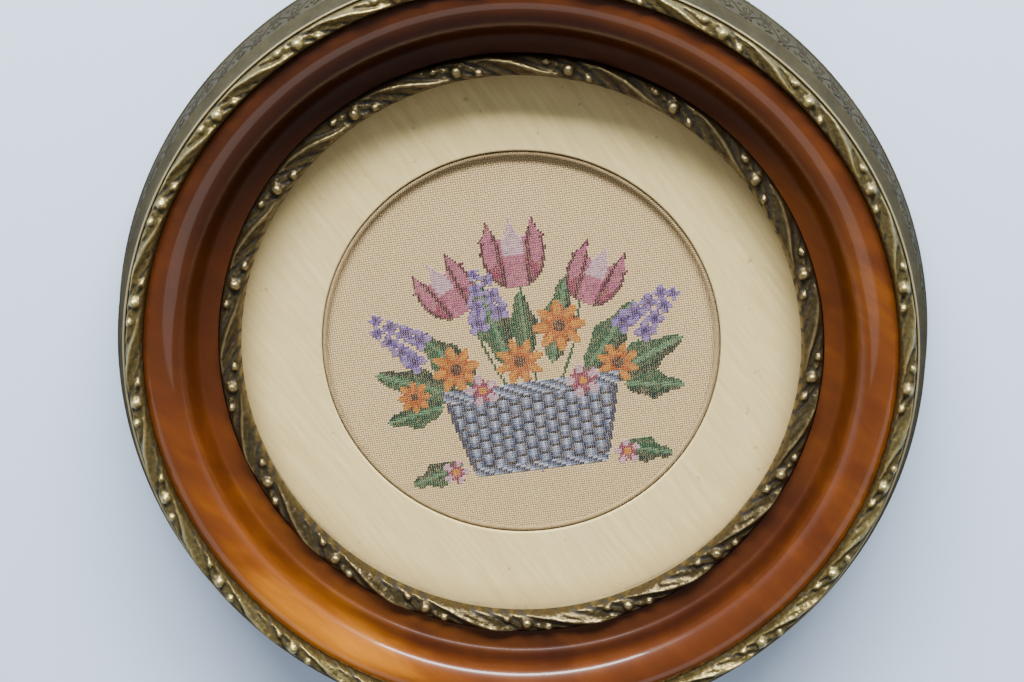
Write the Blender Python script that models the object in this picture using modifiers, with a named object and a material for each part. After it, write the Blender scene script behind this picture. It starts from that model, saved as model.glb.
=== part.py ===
# Round framed needlepoint picture, lying on its back.
# Metres. +Z is the face, +Y is the picture's top, the origin is the middle of the back.

from collections import namedtuple
from math import cos, hypot, pi, radians, sin, sqrt

import bpy
from mathutils import Vector
from mathutils.geometry import interpolate_bezier

MM = 0.001

# Driving dimensions
FRAME_RADIUS = 158.0 * MM           # widest point of the side, near the back
FRAME_HEIGHT = 39.3 * MM            # back to the top of the outer beads
WINDOW_RADIUS = 77.9 * MM           # round window in the mat
SIGHT_RADIUS = 108.0 * MM           # edge of the frame over the mat
REBATE_RADIUS = 121.2 * MM          # recess behind the frame for mat, canvas and board
JOINT_GAP = 0.3 * MM                # clearance between pieces that touch

# Layers in the rebate, from the back
BOARD_BOTTOM = 0.8 * MM
BOARD_THICKNESS = 1.7 * MM
CANVAS_THICKNESS = 1.2 * MM
MAT_THICKNESS = 2.7 * MM
CANVAS_RADIUS = 118.0 * MM
MAT_BEVEL = 0.4 * MM
CORD_RADIUS = 0.85 * MM

CANVAS_BOTTOM = BOARD_BOTTOM + BOARD_THICKNESS + JOINT_GAP
CANVAS_TOP = CANVAS_BOTTOM + CANVAS_THICKNESS
MAT_BOTTOM = CANVAS_TOP + JOINT_GAP
MAT_TOP = MAT_BOTTOM + MAT_THICKNESS
REBATE_TOP = MAT_TOP + JOINT_GAP

# Wood rings, a high roll outside and a low slope inside, which meet at the crease
WOOD_INNER_RADIUS = 116.7 * MM
WOOD_OUTER_RADIUS = 142.3 * MM
WOOD_CREASE_RADIUS = 124.4 * MM
WOOD_INNER_TOP = 17.2 * MM
WOOD_CREASE_TOP = 18.4 * MM
WOOD_OUTER_TOP = 33.8 * MM
CREASE_STEP = 0.4 * MM              # how far the roll starts above the slope

# The roll climbs steeply to its shoulder and rounds over from there. Each place has
# its slope, and a pull that says how long the curve keeps to that slope.
SHOULDER = (129.3 * MM, 30.8 * MM)
WALL_SLOPE, WALL_PULL = radians(72), 7.0 * MM
SHOULDER_SLOPE, SHOULDER_PULL_IN, SHOULDER_PULL_OUT = radians(43), 3.0 * MM, 5.0 * MM
EDGE_SLOPE, EDGE_PULL = radians(-38), 4.0 * MM
WALL_POINTS, CROWN_POINTS = 4, 7

# Side band
LEDGE_TOP = 32.0 * MM               # shelf that carries the outer ornament
RIM_RADIUS = 149.9 * MM
RIM_WIDTH = 0.8 * MM
RIM_TOP = 35.4 * MM
RIM_EDGE = 0.2 * MM                 # chamfer on the rim's outer edge
RIDGE_TOP = 26.4 * MM               # line between the smooth cove and the stamped band
RIDGE_RADIUS = 153.6 * MM
RIDGE_STEP = 0.8 * MM               # how far the ridge stands out of cove and band
COVE_HOLLOW = 0.7 * MM
FOOT_TOP = 5.2 * MM                 # top of the plain foot moulding
FOOT_REACH = 0.7 * MM               # how far it stands out of the band
BACK_CHAMFER = 3.0 * MM             # height of the slope at the back edge
FOOT_CHAMFER = 2.1 * MM             # how far that slope runs in

# Sight lip, the plain wall under the inner ornament
LIP_TOP = 15.0 * MM
LIP_FOOT_RADIUS = 110.3 * MM
LIP_EDGE_RADIUS = 108.8 * MM
LIP_HOLLOW = 0.6 * MM

# Steps round the circle
RING_STEPS = 72
CORD_SIDES = 6

# The leaf-and-bead ornament, one repeat long. A place along the repeat is a share of
# its length, from the big bead. A place across runs from -1, inside, to 1, outside.
INNER_ROWS = 6                      # rows of points between the two edges
EDGE_ROW = 0.93                     # as near to an edge as a row may lie
STATIONS = (-0.245, -0.2, -0.155, -0.06, -0.035, 0.0, 0.035, 0.06, 0.155, 0.2, 0.245, 0.37, 0.5, 0.63)

BIG_BEAD = 2.3 * MM
SMALL_BEAD = 1.6 * MM
Bead = namedtuple("Bead", "along across radius")
BEADS = (
    Bead(along=-0.20, across=-0.42, radius=SMALL_BEAD),
    Bead(along=0.00, across=0.00, radius=BIG_BEAD),
    Bead(along=0.20, across=0.42, radius=SMALL_BEAD),
)
LEAF_START = 0.07
LEAF_LENGTH = 0.80
LEAF_SWEEP = 0.70                   # how far its middle line swings across
LEAF_HALF_WIDTH = 0.62
LEAF_HEIGHT = 2.1 * MM

Ornament = namedtuple("Ornament", "name inner outer base arch repeats first_bead")
OUTER_ORNAMENT = Ornament(
    name="outer_ornament",
    inner=WOOD_OUTER_RADIUS + JOINT_GAP,
    outer=RIM_RADIUS - RIM_WIDTH - JOINT_GAP,
    base=LEDGE_TOP + JOINT_GAP,
    arch=FRAME_HEIGHT - BIG_BEAD - LEDGE_TOP - JOINT_GAP,
    repeats=23,
    first_bead=radians(5.1),
)
INNER_ORNAMENT = Ornament(
    name="inner_ornament",
    inner=SIGHT_RADIUS,
    outer=WOOD_INNER_RADIUS - JOINT_GAP,
    base=LIP_TOP + JOINT_GAP,
    arch=3.8 * MM,
    repeats=17,
    first_bead=radians(9.2),
)


def clear_scene():
    for item in list(bpy.data.objects):
        bpy.data.objects.remove(item, do_unlink=True)


def make_collection(name):
    collection = bpy.data.collections.new(name)
    bpy.context.scene.collection.children.link(collection)
    return collection


def make_material(name, color, roughness, metallic=0.0):
    material = bpy.data.materials.new(name)
    material.use_nodes = True
    shader = material.node_tree.nodes["Principled BSDF"]
    shader.inputs["Base Color"].default_value = (*color, 1.0)
    shader.inputs["Roughness"].default_value = roughness
    shader.inputs["Metallic"].default_value = metallic
    material.diffuse_color = (*color, 1.0)
    return material


def turned(name, profile, steps, material, collection):
    # The closed profile runs down its outer side, as (radius, height) points.
    count = len(profile)
    mesh = bpy.data.meshes.new(name)
    edges = [(i, (i + 1) % count) for i in range(count)]
    mesh.from_pydata([(radius, 0.0, height) for radius, height in profile], edges, [])
    ring = bpy.data.objects.new(name, mesh)
    collection.objects.link(ring)
    screw = ring.modifiers.new("Turn", "SCREW")
    screw.axis = "Z"
    screw.angle = 2 * pi
    screw.steps = steps
    screw.render_steps = steps
    screw.use_merge_vertices = True
    screw.merge_threshold = 0.0001
    bpy.context.view_layer.update()
    solid = bpy.data.meshes.new_from_object(ring.evaluated_get(bpy.context.evaluated_depsgraph_get()))
    ring.modifiers.clear()
    ring.data = solid
    bpy.data.meshes.remove(mesh)
    solid.name = name
    solid.materials.append(material)
    solid.shade_smooth()
    solid.set_sharp_from_angle(angle=radians(35))
    return ring


def disc(name, radius, bottom, thickness, material, collection):
    bpy.ops.mesh.primitive_cylinder_add(
        vertices=RING_STEPS, radius=radius, depth=thickness,
        location=(0.0, 0.0, bottom + thickness / 2))
    plate = bpy.context.object
    plate.name = name
    plate.data.name = name
    for owner in list(plate.users_collection):
        owner.objects.unlink(plate)
    collection.objects.link(plate)
    plate.data.materials.append(material)
    return plate


def arc(start, end, bulge, count):
    # Points from start to end on a curve that leaves the straight line by bulge.
    (x0, z0), (x1, z1) = start, end
    length = hypot(x1 - x0, z1 - z0)
    side_x, side_z = -(z1 - z0) / length, (x1 - x0) / length
    points = []
    for i in range(count + 1):
        t = i / count
        lift = bulge * sin(pi * t)
        points.append((x0 + (x1 - x0) * t + side_x * lift, z0 + (z1 - z0) * t + side_z * lift))
    return points


def side_band_profile():
    cove_top = (RIM_RADIUS, RIM_TOP - RIDGE_STEP)
    cove_foot = (RIDGE_RADIUS - RIDGE_STEP, RIDGE_TOP + RIDGE_STEP)
    profile = [
        (WOOD_OUTER_RADIUS + JOINT_GAP, LEDGE_TOP),
        (RIM_RADIUS - RIM_WIDTH, LEDGE_TOP),
        (RIM_RADIUS - RIM_WIDTH, RIM_TOP),
        (RIM_RADIUS - RIM_EDGE, RIM_TOP),
    ]
    profile += arc(cove_top, cove_foot, -COVE_HOLLOW, 4)
    profile += [
        (RIDGE_RADIUS, RIDGE_TOP),
        (RIDGE_RADIUS, RIDGE_TOP - RIDGE_STEP),
        (FRAME_RADIUS - FOOT_REACH, FOOT_TOP + FOOT_REACH),
        (FRAME_RADIUS, FOOT_TOP),
        (FRAME_RADIUS, BACK_CHAMFER),
        (FRAME_RADIUS - FOOT_CHAMFER, 0.0),
        (WOOD_OUTER_RADIUS + JOINT_GAP, 0.0),
    ]
    return profile


def heading(slope, length):
    return length * Vector((cos(slope), sin(slope)))


def wood_roll_profile():
    foot = Vector((WOOD_CREASE_RADIUS + JOINT_GAP, WOOD_CREASE_TOP + CREASE_STEP))
    shoulder = Vector(SHOULDER)
    edge = Vector((WOOD_OUTER_RADIUS, WOOD_OUTER_TOP))
    wall = interpolate_bezier(
        foot, foot + heading(WALL_SLOPE, WALL_PULL),
        shoulder - heading(SHOULDER_SLOPE, SHOULDER_PULL_IN), shoulder, WALL_POINTS)
    crown = interpolate_bezier(
        shoulder, shoulder + heading(SHOULDER_SLOPE, SHOULDER_PULL_OUT),
        edge - heading(EDGE_SLOPE, EDGE_PULL), edge, CROWN_POINTS)
    roll = [(point.x, point.y) for point in wall[:-1] + crown]
    return roll + [(WOOD_OUTER_RADIUS, 0.0), (WOOD_CREASE_RADIUS + JOINT_GAP, 0.0)]


def wood_slope_profile():
    return [
        (WOOD_INNER_RADIUS, WOOD_INNER_TOP),
        (WOOD_CREASE_RADIUS, WOOD_CREASE_TOP),
        (WOOD_CREASE_RADIUS, 0.0),
        (REBATE_RADIUS, 0.0),
        (REBATE_RADIUS, REBATE_TOP),
        (WOOD_INNER_RADIUS, REBATE_TOP),
    ]


def lip_profile():
    outer = WOOD_INNER_RADIUS - JOINT_GAP
    wall_middle = (LIP_FOOT_RADIUS + LIP_EDGE_RADIUS) / 2 + LIP_HOLLOW
    return [
        (LIP_EDGE_RADIUS, LIP_TOP),
        (outer, LIP_TOP),
        (outer, REBATE_TOP),
        (LIP_FOOT_RADIUS, REBATE_TOP),
        (wall_middle, (LIP_TOP + REBATE_TOP) / 2),
    ]


def mat_profile():
    outer = REBATE_RADIUS - JOINT_GAP
    return [
        (WINDOW_RADIUS + MAT_BEVEL, MAT_TOP),
        (outer, MAT_TOP),
        (outer, MAT_BOTTOM),
        (WINDOW_RADIUS, MAT_BOTTOM),
        (WINDOW_RADIUS, MAT_TOP - MAT_BEVEL),
    ]


def cord_profile():
    middle_radius = WINDOW_RADIUS - JOINT_GAP - CORD_RADIUS
    middle_height = MAT_BOTTOM + CORD_RADIUS * cos(pi / CORD_SIDES)
    profile = []
    for i in range(CORD_SIDES):
        angle = 2 * pi / 3 - 2 * pi * i / CORD_SIDES
        profile.append((middle_radius + CORD_RADIUS * cos(angle), middle_height + CORD_RADIUS * sin(angle)))
    return profile


def leaf_section(along):
    # Middle line, half width and height of the leaf at one place, or None past its ends.
    t = ((along - LEAF_START) % 1.0) / LEAF_LENGTH
    if t >= 1.0:
        return None
    middle = -LEAF_SWEEP * cos(pi * t)
    return middle, LEAF_HALF_WIDTH * sin(pi * t) ** 0.6, LEAF_HEIGHT * sin(pi * t) ** 0.5


def bead_reach(along, bead, repeat_length):
    # Half the bead's width at one place along the repeat, 0 beside the bead.
    offset = (along - bead.along) * repeat_length
    return sqrt(max(0.0, bead.radius ** 2 - offset ** 2))


def relief(along, across, repeat_length, half_width):
    heights = [0.0]
    for bead in BEADS:
        reach = bead_reach(along, bead, repeat_length)
        offset = (across - bead.across) * half_width
        heights.append(sqrt(max(0.0, reach ** 2 - offset ** 2)))
    leaf = leaf_section(along)
    if leaf:
        middle, leaf_half, height = leaf
        heights.append(height * max(0.0, 1 - abs(across - middle) / leaf_half))
    return max(heights)


def station_rows(along, repeat_length, half_width):
    # Rows lie on the edges and crests of what is raised here, and spare ones fill the widest gaps.
    rows = []
    leaf = leaf_section(along)
    if leaf:
        middle, leaf_half, _ = leaf
        rows += [middle - leaf_half, middle, middle + leaf_half]
    for bead in BEADS:
        reach = bead_reach(along, bead, repeat_length) / half_width
        if reach > 0.1:
            crest = [bead.across] if leaf else [bead.across - reach * 0.5, bead.across + reach * 0.5]
            rows += [bead.across - reach, *crest, bead.across + reach]
    rows = sorted(min(max(row, -EDGE_ROW), EDGE_ROW) for row in rows)
    while len(rows) < INNER_ROWS:
        fences = [-1.0, *rows, 1.0]
        widest = max(range(len(fences) - 1), key=lambda i: fences[i + 1] - fences[i])
        rows.insert(widest, (fences[widest] + fences[widest + 1]) / 2)
    return [-1.0, *rows, 1.0]


def ornament_points(shape):
    middle = (shape.inner + shape.outer) / 2
    half_width = (shape.outer - shape.inner) / 2
    pitch = 2 * pi / shape.repeats
    repeat_length = middle * pitch
    points = []
    for repeat in range(shape.repeats):
        for along in STATIONS:
            angle = shape.first_bead + (repeat + along) * pitch
            for across in station_rows(along, repeat_length, half_width):
                radius = middle + half_width * across
                height = shape.base
                if abs(across) < 1.0:
                    height += shape.arch * (1 - across ** 4)
                    height += relief(along, across, repeat_length, half_width)
                points.append((radius * cos(angle), radius * sin(angle), height))
    return points


def make_ornament(shape, material, collection):
    # A loft from station to station. Its diagonals run the way that the leaf sweeps.
    points = ornament_points(shape)
    width = INNER_ROWS + 2
    faces = []
    for start in range(0, len(points), width):
        following = (start + width) % len(points)
        for i in range(width):
            j = (i + 1) % width
            faces.append((start + i, start + j, following + j))
            faces.append((start + i, following + j, following + i))
    mesh = bpy.data.meshes.new(shape.name)
    mesh.from_pydata(points, [], faces)
    mesh.materials.append(material)
    mesh.shade_smooth()
    mesh.set_sharp_from_angle(angle=radians(40))
    ring = bpy.data.objects.new(shape.name, mesh)
    collection.objects.link(ring)
    return ring


def main():
    clear_scene()
    parts = make_collection("framed_needlepoint_picture")

    bronze = make_material("aged_bronze", (0.23, 0.21, 0.17), 0.42, 0.6)
    gilt = make_material("aged_gilt", (0.34, 0.28, 0.14), 0.38, 0.8)
    amber_wood = make_material("amber_wood", (0.30, 0.09, 0.02), 0.18)
    lip_gilt = make_material("khaki_gilt", (0.36, 0.31, 0.19), 0.45, 0.5)
    mat_cloth = make_material("cream_mat_cloth", (0.66, 0.58, 0.42), 0.85)
    cord_gold = make_material("brown_gold_cord", (0.30, 0.22, 0.10), 0.6)
    canvas_cloth = make_material("canvas_cloth", (0.60, 0.50, 0.33), 0.9)
    board = make_material("grey_board", (0.36, 0.31, 0.24), 0.9)

    turned("side_band", side_band_profile(), RING_STEPS, bronze, parts)
    turned("wood_roll", wood_roll_profile(), RING_STEPS, amber_wood, parts)
    turned("wood_slope", wood_slope_profile(), RING_STEPS, amber_wood, parts)
    turned("sight_lip", lip_profile(), RING_STEPS, lip_gilt, parts)
    turned("mat", mat_profile(), RING_STEPS, mat_cloth, parts)
    turned("window_cord", cord_profile(), RING_STEPS, cord_gold, parts)
    disc("needlework_canvas", CANVAS_RADIUS, CANVAS_BOTTOM, CANVAS_THICKNESS, canvas_cloth, parts)
    disc("backing_board", REBATE_RADIUS - JOINT_GAP, BOARD_BOTTOM, BOARD_THICKNESS, board, parts)
    make_ornament(OUTER_ORNAMENT, gilt, parts)
    make_ornament(INNER_ORNAMENT, gilt, parts)


main()
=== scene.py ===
from math import atan2, ceil, cos, floor, hypot, pi, radians, sin, sqrt

import bmesh
import bpy
import numpy as np
from mathutils import Matrix, Vector
from mathutils.geometry import interpolate_bezier


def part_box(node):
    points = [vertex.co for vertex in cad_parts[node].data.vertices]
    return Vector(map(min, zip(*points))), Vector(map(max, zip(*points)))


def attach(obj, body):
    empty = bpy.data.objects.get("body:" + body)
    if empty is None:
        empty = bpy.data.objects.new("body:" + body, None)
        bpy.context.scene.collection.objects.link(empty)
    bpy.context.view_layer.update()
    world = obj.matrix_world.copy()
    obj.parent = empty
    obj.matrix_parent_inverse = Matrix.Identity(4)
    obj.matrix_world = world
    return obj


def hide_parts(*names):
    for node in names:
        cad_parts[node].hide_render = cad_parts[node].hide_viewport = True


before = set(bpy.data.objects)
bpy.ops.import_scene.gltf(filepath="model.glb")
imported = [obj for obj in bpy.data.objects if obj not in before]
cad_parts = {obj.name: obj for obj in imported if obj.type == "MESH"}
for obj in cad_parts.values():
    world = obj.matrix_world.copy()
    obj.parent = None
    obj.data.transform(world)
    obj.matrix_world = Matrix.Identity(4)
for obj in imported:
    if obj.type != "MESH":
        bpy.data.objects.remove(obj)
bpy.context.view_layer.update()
mm = 0.001
gap = 0.3 * mm              # clearance between pieces, as in the solids


# Shader wires that can be added, multiplied and compared

class Wire:
    def __init__(self, maker, socket):
        self.maker = maker
        self.socket = socket

    def calc(self, operation, a, b=0.0):
        return self.maker.node("ShaderNodeMath", {"operation": operation}, {0: a, 1: b})

    def __add__(self, other): return self.calc("ADD", self, other)
    def __radd__(self, other): return self.calc("ADD", other, self)
    def __sub__(self, other): return self.calc("SUBTRACT", self, other)
    def __rsub__(self, other): return self.calc("SUBTRACT", other, self)
    def __mul__(self, other): return self.calc("MULTIPLY", self, other)
    def __rmul__(self, other): return self.calc("MULTIPLY", other, self)
    def __truediv__(self, other): return self.calc("DIVIDE", self, other)
    def __rtruediv__(self, other): return self.calc("DIVIDE", other, self)
    def __pow__(self, other): return self.calc("POWER", self, other)
    def __abs__(self): return self.calc("ABSOLUTE", self)
    def sine(self): return self.calc("SINE", self)
    def clamped(self): return self.calc("MAXIMUM", self.calc("MINIMUM", self, 1.0), 0.0)


class Finish:
    # One material: a Principled shader, and one method that makes any other node.
    def __init__(self, name, roughness=0.5, metallic=0.0, coat=0.0, coatRoughness=0.05, sheen=0.0):
        self.material = bpy.data.materials.new(name)
        self.material.use_nodes = True
        self.tree = self.material.node_tree
        self.shader = self.tree.nodes["Principled BSDF"]
        self.shader.inputs["Roughness"].default_value = roughness
        self.shader.inputs["Metallic"].default_value = metallic
        self.shader.inputs["Coat Weight"].default_value = coat
        self.shader.inputs["Coat Roughness"].default_value = coatRoughness
        self.shader.inputs["Sheen Weight"].default_value = sheen

    def node(self, kind, settings=None, sockets=None, out=0):
        made = self.tree.nodes.new(kind)
        for key, value in (settings or {}).items():
            if key == "stops":
                ramp = made.color_ramp.elements
                while len(ramp) < len(value):
                    ramp.new(1.0)
                for element, (place, color) in zip(ramp, value):
                    element.position = place
                    element.color = (*color, 1.0)
            else:
                setattr(made, key, value)
        for key, value in (sockets or {}).items():
            if isinstance(value, Wire):
                self.tree.links.new(value.socket, made.inputs[key])
            else:
                made.inputs[key].default_value = value
        return Wire(self, made.outputs[out])

    def place(self, scale=(1.0, 1.0, 1.0), turn=0.0):
        # Turned first, in degrees, and stretched then, so marks run along the turned axis.
        where = self.node("ShaderNodeTexCoord", out=3)
        return self.node("ShaderNodeMapping", {"vector_type": "TEXTURE"}, {
            "Vector": where, "Scale": tuple(1 / k for k in scale), "Rotation": (0.0, 0.0, radians(turn))})

    def axes(self, where):
        return [self.node("ShaderNodeSeparateXYZ", {}, {0: where}, out=i) for i in range(3)]

    def noise(self, where, scale, detail=3.0, rough=0.55):
        return self.node("ShaderNodeTexNoise", {}, {
            "Vector": where, "Scale": scale, "Detail": detail, "Roughness": rough})

    def attribute(self, name, out=2):
        return self.node("ShaderNodeAttribute", {"attribute_name": name}, out=out)

    def ramp(self, value, stops):
        return self.node("ShaderNodeValToRGB", {"stops": stops}, {0: value})

    def blend(self, amount, first, second, kind="MIX"):
        colors = [(*c, 1.0) if isinstance(c, tuple) else c for c in (first, second)]
        return self.node("ShaderNodeMix", {"data_type": "RGBA", "blend_type": kind},
                         {0: amount, 6: colors[0], 7: colors[1]}, out=2)

    def feed(self, name, wire):
        self.tree.links.new(wire.socket, self.shader.inputs[name])

    def bump(self, height, distance, strength=1.0):
        self.feed("Normal", self.node("ShaderNodeBump", {}, {
            "Height": height, "Distance": distance, "Strength": strength}))


def tone(red, green, blue):
    # A colour as seen on a screen, 0 to 255, made linear.
    return tuple(((c / 255 + 0.055) / 1.055) ** 2.4 if c > 10 else c / 3295 for c in (red, green, blue))


# Mesh helpers

def addPiece(name, mesh, material=None, smoothAngle=None):
    if material:
        mesh.materials.clear()
        mesh.materials.append(material)
    mesh.shade_smooth()
    if smoothAngle:
        mesh.set_sharp_from_angle(angle=radians(smoothAngle))
    piece = bpy.data.objects.new(name, mesh)
    bpy.context.scene.collection.objects.link(piece)
    return piece


def faceOut(mesh):
    cleaner = bmesh.new()
    cleaner.from_mesh(mesh)
    bmesh.ops.remove_doubles(cleaner, verts=cleaner.verts, dist=1e-6)
    bmesh.ops.recalc_face_normals(cleaner, faces=cleaner.faces)
    cleaner.to_mesh(mesh)
    cleaner.free()


def turnRing(name, profile, steps, material, smoothAngle=40):
    # A closed (radius, height) outline turned once round the middle.
    count = len(profile)
    radius = np.array([p[0] for p in profile])
    height = np.array([p[1] for p in profile])
    angle = np.arange(steps) * 2 * pi / steps
    points = np.stack([np.outer(np.cos(angle), radius), np.outer(np.sin(angle), radius),
                       np.tile(height, (steps, 1))], axis=-1).reshape(-1, 3)
    faces = []
    for s in range(steps):
        a, b = s * count, ((s + 1) % steps) * count
        for i in range(count):
            j = (i + 1) % count
            faces.append((a + i, a + j, b + j, b + i))
    mesh = bpy.data.meshes.new(name)
    mesh.from_pydata(points.tolist(), [], faces)
    faceOut(mesh)
    return addPiece(name, mesh, material, smoothAngle)


def turnDisc(name, radius, bottom, top, steps, material):
    shape = bmesh.new()
    bmesh.ops.create_cone(shape, cap_ends=True, segments=steps, radius1=radius, radius2=radius,
                          depth=top - bottom, matrix=Matrix.Translation((0, 0, (top + bottom) / 2)))
    mesh = bpy.data.meshes.new(name)
    shape.to_mesh(mesh)
    shape.free()
    return addPiece(name, mesh, material, 40)


def curvePoints(start, startPull, endPull, end, count):
    made = interpolate_bezier(Vector(start), Vector(startPull), Vector(endPull), Vector(end), count)
    return [(p.x, p.y) for p in made]


def edgePoints(corner, radius, fromAngle, toAngle, count=5):
    angles = np.linspace(radians(fromAngle), radians(toAngle), count)
    return [(corner[0] + radius * cos(a), corner[1] + radius * sin(a)) for a in angles]


# Geometry Nodes helpers

def newTree(name, inputs):
    tree = bpy.data.node_groups.new(name, "GeometryNodeTree")
    tree.interface.new_socket("Geometry", in_out="INPUT", socket_type="NodeSocketGeometry")
    for label, kind in inputs:
        tree.interface.new_socket(label, in_out="INPUT", socket_type=kind)
    tree.interface.new_socket("Geometry", in_out="OUTPUT", socket_type="NodeSocketGeometry")
    return tree, tree.nodes.new("NodeGroupInput"), tree.nodes.new("NodeGroupOutput")


def link(tree, source, target):
    tree.links.new(source, target)


def bakeTree(piece, tree, values):
    # Runs the tree on the piece, keeps the plain mesh and takes the modifier off.
    modifier = piece.modifiers.new(tree.name, "NODES")
    modifier.node_group = tree
    for item in tree.interface.items_tree:
        if item.in_out == "INPUT" and item.name in values:
            modifier[item.identifier] = values[item.name]
    bpy.context.view_layer.update()
    graph = bpy.context.evaluated_depsgraph_get()
    result = bpy.data.meshes.new_from_object(piece.evaluated_get(graph))
    piece.modifiers.clear()
    piece.data = result
    return piece


def copiesRoundTree(material):
    # Turns copies of the incoming sector round the middle and welds them.
    tree, given, out = newTree("copiesRound", [("Copies", "NodeSocketInt"), ("First", "NodeSocketFloat")])
    points = tree.nodes.new("GeometryNodePoints")
    index = tree.nodes.new("GeometryNodeInputIndex")
    share = tree.nodes.new("ShaderNodeMath")
    share.operation = "DIVIDE"
    turn = tree.nodes.new("ShaderNodeMath")
    turn.operation = "MULTIPLY_ADD"
    turn.inputs[1].default_value = 2 * pi
    angle = tree.nodes.new("ShaderNodeCombineXYZ")
    place = tree.nodes.new("GeometryNodeInstanceOnPoints")
    real = tree.nodes.new("GeometryNodeRealizeInstances")
    weld = tree.nodes.new("GeometryNodeMergeByDistance")
    weld.inputs["Distance"].default_value = 0.02 * mm
    paint = tree.nodes.new("GeometryNodeSetMaterial")
    paint.inputs["Material"].default_value = material
    link(tree, given.outputs["Copies"], points.inputs["Count"])
    link(tree, index.outputs[0], share.inputs[0])
    link(tree, given.outputs["Copies"], share.inputs[1])
    link(tree, share.outputs[0], turn.inputs[0])
    link(tree, given.outputs["First"], turn.inputs[2])
    link(tree, turn.outputs[0], angle.inputs["Z"])
    link(tree, points.outputs[0], place.inputs["Points"])
    link(tree, given.outputs["Geometry"], place.inputs["Instance"])
    link(tree, angle.outputs[0], place.inputs["Rotation"])
    link(tree, place.outputs[0], real.inputs[0])
    link(tree, real.outputs[0], weld.inputs[0])
    link(tree, weld.outputs[0], paint.inputs["Geometry"])
    link(tree, paint.outputs[0], out.inputs[0])
    return tree


# Camera, floor and light

view = {
    "distance": 755 * mm,
    "lean": 17.3,               # degrees off the picture's normal
    "leanTowards": 76.4,        # degrees round from the picture's right
    "roll": 5.6,
    "aim": (-3.5 * mm, 0.9 * mm, 0.0),
    "lens": 67.4,
}


def setCamera():
    lean, around, roll = (radians(view[k]) for k in ("lean", "leanTowards", "roll"))
    back = Vector((sin(lean) * cos(around), sin(lean) * sin(around), cos(lean)))
    level = Vector((cos(around), sin(around), 0.0)).cross(back)
    level = level.normalized() if level.dot(Vector((1, 0, 0))) > 0 else -level.normalized()
    up = back.cross(level)
    right = level * cos(roll) + up * sin(roll)
    up = back.cross(right)
    camera = bpy.data.objects.new("camera", bpy.data.cameras.new("camera"))
    bpy.context.scene.collection.objects.link(camera)
    turned = Matrix((right, up, back)).transposed().to_4x4()
    camera.matrix_world = Matrix.Translation(Vector(view["aim"]) + view["distance"] * back) @ turned
    camera.data.lens = view["lens"]
    camera.data.sensor_width = 36.0
    camera.data.clip_start = 0.01
    bpy.context.scene.camera = camera


light = {
    "keyPower": 132.0, "keySize": (2.0, 0.42), "keyPlace": (0.25, 1.6, 0.91),
    "glowPower": 14.0, "glowSize": (2.9, 0.75),     # a dim wide sheet round the key, for a soft edge
    "panelPower": 6.2, "panelSize": (3.0, 0.55), "panelPlace": (-0.1, -0.80, 1.28),
    "panelTone": (1.0, 0.96, 0.93),
    "skyTones": ((0.0, (0.72, 0.76, 0.84)), (0.28, (0.50, 0.53, 0.60)), (0.62, (0.07, 0.075, 0.09))),
    "skyPower": 2.4,
    "darkSide": 0.8,            # how much darker the sky is behind the picture's foot
    "floorTone": (210, 231, 255), "floorSize": 12.0,
    "floorTop": -0.3 * mm,
}


def addLight(name, power, size, place, color=(1.0, 1.0, 1.0)):
    # A soft panel that faces the picture and isn't seen itself.
    lamp = bpy.data.lights.new(name, "AREA")
    lamp.energy = power
    lamp.shape = "RECTANGLE"
    lamp.size, lamp.size_y = size
    lamp.color = color
    holder = bpy.data.objects.new(name, lamp)
    holder.location = place
    holder.rotation_euler = (-Vector(place)).to_track_quat("-Z", "Y").to_euler()
    holder.visible_camera = False
    bpy.context.scene.collection.objects.link(holder)


def setStage():
    # The sky is pale at the horizon, and dark overhead and at the picture's foot.
    world = bpy.data.worlds.new("sky")
    bpy.context.scene.world = world
    world.use_nodes = True
    tree = world.node_tree
    where = tree.nodes.new("ShaderNodeTexCoord")
    split = tree.nodes.new("ShaderNodeSeparateXYZ")
    shade = tree.nodes.new("ShaderNodeValToRGB")
    stops = shade.color_ramp.elements
    stops.new(0.5)
    for stop, (height, color) in zip(stops, light["skyTones"]):
        stop.position = height
        stop.color = (*color, 1.0)
    foot = tree.nodes.new("ShaderNodeMath")
    foot.operation = "MINIMUM"
    foot.inputs[1].default_value = 0.0
    rise = tree.nodes.new("ShaderNodeMath")
    rise.operation = "MULTIPLY_ADD"
    rise.inputs[1].default_value = -light["darkSide"]
    sky = tree.nodes["Background"]
    tree.links.new(where.outputs["Generated"], split.inputs[0])
    tree.links.new(split.outputs["Y"], foot.inputs[0])
    tree.links.new(foot.outputs[0], rise.inputs[0])
    tree.links.new(split.outputs["Z"], rise.inputs[2])
    tree.links.new(rise.outputs[0], shade.inputs[0])
    tree.links.new(shade.outputs[0], sky.inputs[0])
    sky.inputs[1].default_value = light["skyPower"]
    addLight("keyLight", light["keyPower"], light["keySize"], light["keyPlace"])
    addLight("glowLight", light["glowPower"], light["glowSize"], light["keyPlace"])
    addLight("panelLight", light["panelPower"], light["panelSize"], light["panelPlace"],
             light["panelTone"])
    bpy.ops.mesh.primitive_plane_add(size=light["floorSize"], location=(0, 0, light["floorTop"]))
    floor = bpy.context.object
    floor.name = "floor"
    paper = Finish("floorPaper", roughness=0.8)
    paper.shader.inputs["Base Color"].default_value = (*tone(*light["floorTone"]), 1.0)
    floor.data.materials.append(paper.material)
    print("stage and camera set")


# The frame's side, a smooth cove over a stamped band

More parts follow.
